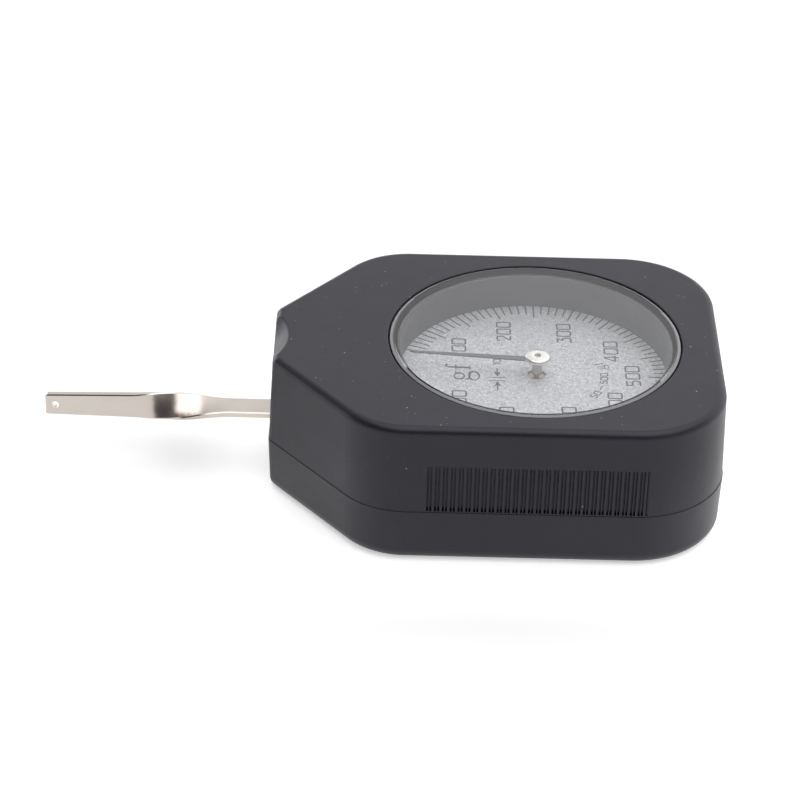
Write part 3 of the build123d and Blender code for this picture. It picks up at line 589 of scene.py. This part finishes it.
number(span, "50", 1.20, 0.19, on_arc(-31.5), 0.20)
span.stroke([(-0.55, 0), (0.55, 0)], 0.19, on_arc(-19.5))
number(span, "500", 1.20, 0.19, on_arc(-4.0), 0.20)
small = on_arc(14.0)
letter_g(span, lambda v: small((v[0] * 0.44 - 0.62, v[1] * 0.44 - 0.52)))
letter_f(span, lambda v: small((v[0] * 0.44 + 1.05, v[1] * 0.44 - 0.52)))
span.done(INK)

# ================================================================ floor, light, camera
floor_mesh = bpy.data.meshes.new("floor")
size = 3.0
floor_mesh.from_pydata([(-size, -size, -2e-5), (size, -size, -2e-5), (size, size, -2e-5), (-size, size, -2e-5)], [], [(0, 1, 2, 3)])
floor = bpy.data.objects.new("floor", floor_mesh)
scene.collection.objects.link(floor)
f = Shade("floor_white", Roughness=0.9, IOR=1.3)
f.set("Base Color", f.mix(f.noise(6.0, 2.0), (0.90, 0.90, 0.90), (0.915, 0.915, 0.915)))
f.set("Emission Color", (1.0, 1.0, 1.0))
# painted light: the floor glows at 0.5 next to the case footprint, falling to 0.11 beyond 18 mm, to wash out the case's
# contact shadow
fx, fy, fz = f.xyz()
gx = f.math("MAXIMUM", f.math("SUBTRACT", f.math("ABSOLUTE", f.math("ADD", fx, 0.004)), 0.037), 0.0)
gy = f.math("MAXIMUM", f.math("SUBTRACT", f.math("ABSOLUTE", fy), 0.027), 0.0)
gap = f.math("SQRT", f.math("ADD", f.math("MULTIPLY", gx, gx), f.math("MULTIPLY", gy, gy)))
f.set("Emission Strength", f.span(gap, 0.0, 0.018, 0.50, 0.11, True))
floor_mesh.materials.append(f.mat)
floor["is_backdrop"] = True

# the studio around the gauge, by direction: a pale backdrop, brighter near the
# floor, a dim room on the near side and a wide soft light overhead
world = bpy.data.worlds.new("studio")
scene.world = world
world.use_nodes = True
wt = world.node_tree
wt.nodes.clear()
w = Shade.__new__(Shade)
w.t = wt
w_out = wt.nodes.new("ShaderNodeOutputWorld")
w_bg = wt.nodes.new("ShaderNodeBackground")
w.place = wt.nodes.new("ShaderNodeTexCoord").outputs["Generated"]
dx, dy, dz = w.xyz()
back = w.span(dy, -0.12, 0.22, 0.0, 1.0, True)
low = w.span(dz, 0.42, 0.15, 0.0, 1.0, True)
# the wall behind: a little brighter to the right and lower down, bright near the
# table on the left, and dark high up on the left
left = w.span(dx, -0.25, -0.55, 0.0, 1.0, True)
corner = w.math("MULTIPLY", w.span(dx, -0.20, -0.45, 0.0, 1.0, True), w.span(dz, 0.56, 0.69, 0.0, 1.0, True))
edge = w.math("MULTIPLY", w.span(dx, -0.60, -0.85, 0.0, 1.0, True), w.span(dz, 0.12, 0.30, 0.0, 1.0, True))
side_dark = w.math("MAXIMUM", corner, edge)
wall = w.math("MULTIPLY", w.span(dx, -0.14, 0.16, 0.91, 1.25), w.span(dz, 0.47, 0.56, 1.12, 1.00))
wall = w.math("ADD", wall, w.math("MULTIPLY", w.math("MULTIPLY", low, left), 2.4))
wall = w.math("MULTIPLY", wall, w.math("SUBTRACT", 1.0, w.math("MULTIPLY", side_dark, 0.88)))
# the near side: dim, warmer and brighter in places, lighter to the right
room = w.noise(2.6, 2.0, 0.5)
near = w.math("MULTIPLY", w.span(room, 0.3, 0.7, 0.06, 0.14), w.span(dx, 0.0, 0.75, 1.0, 5.5, True))
# a wide soft light overhead, shorter on the left
tilt = w.math("DIVIDE", dy, w.math("MAXIMUM", dz, 0.02))
lean = w.math("DIVIDE", dx, w.math("MAXIMUM", dz, 0.02))
over = w.math("MULTIPLY", w.span(tilt, -1.00, -0.60, 0.0, 1.0, True), w.span(tilt, 0.80, 0.25, 0.0, 1.0, True))
over = w.math("MULTIPLY", over, w.span(lean, 1.2, 0.9, 0.0, 1.0, True))
over = w.math("MULTIPLY", over, w.span(lean, -0.62, -0.36, 0.0, 1.0, True))
over = w.math("MULTIPLY", over, w.math("GREATER_THAN", dz, 0.1))
level = w.math("ADD", w.math("MULTIPLY", back, wall), w.math("MULTIPLY", w.math("SUBTRACT", 1.0, back), near))
level = w.math("MAXIMUM", level, w.math("MULTIPLY", over, 2.2))
warm = w.mix(w.span(room, 0.35, 0.65), (1.0, 0.90, 0.83), (0.94, 0.94, 1.0))
tone = w.mix(w.math("MAXIMUM", back, over), warm, (0.985, 0.985, 1.0))
w.put(w_bg.inputs["Color"], tone)
w.put(w_bg.inputs["Strength"], level)
wt.links.new(w_bg.outputs[0], w_out.inputs[0])

cam_data = bpy.data.cameras.new("camera")
cam_data.sensor_width = 36.0
cam_data.sensor_fit = "HORIZONTAL"
cam_data.lens = 2870.438 / 800.0 * 36.0
cam_data.clip_start = 0.02
cam_data.clip_end = 20.0
cam = bpy.data.objects.new("camera", cam_data)
scene.collection.objects.link(cam)
R = Vector((0.99970187, 0.01202269, 0.02125128))
U = Vector((-0.02438969, 0.53244516, 0.84611305))
F = Vector((0.00114259, 0.84637911, -0.53257966))
C = Vector((-21.886, -384.136, 253.722)) * MM
cam.matrix_world = Matrix((
    (R.x, U.x, -F.x, C.x),
    (R.y, U.y, -F.y, C.y),
    (R.z, U.z, -F.z, C.z),
    (0, 0, 0, 1),
))
scene.camera = cam

low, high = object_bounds()
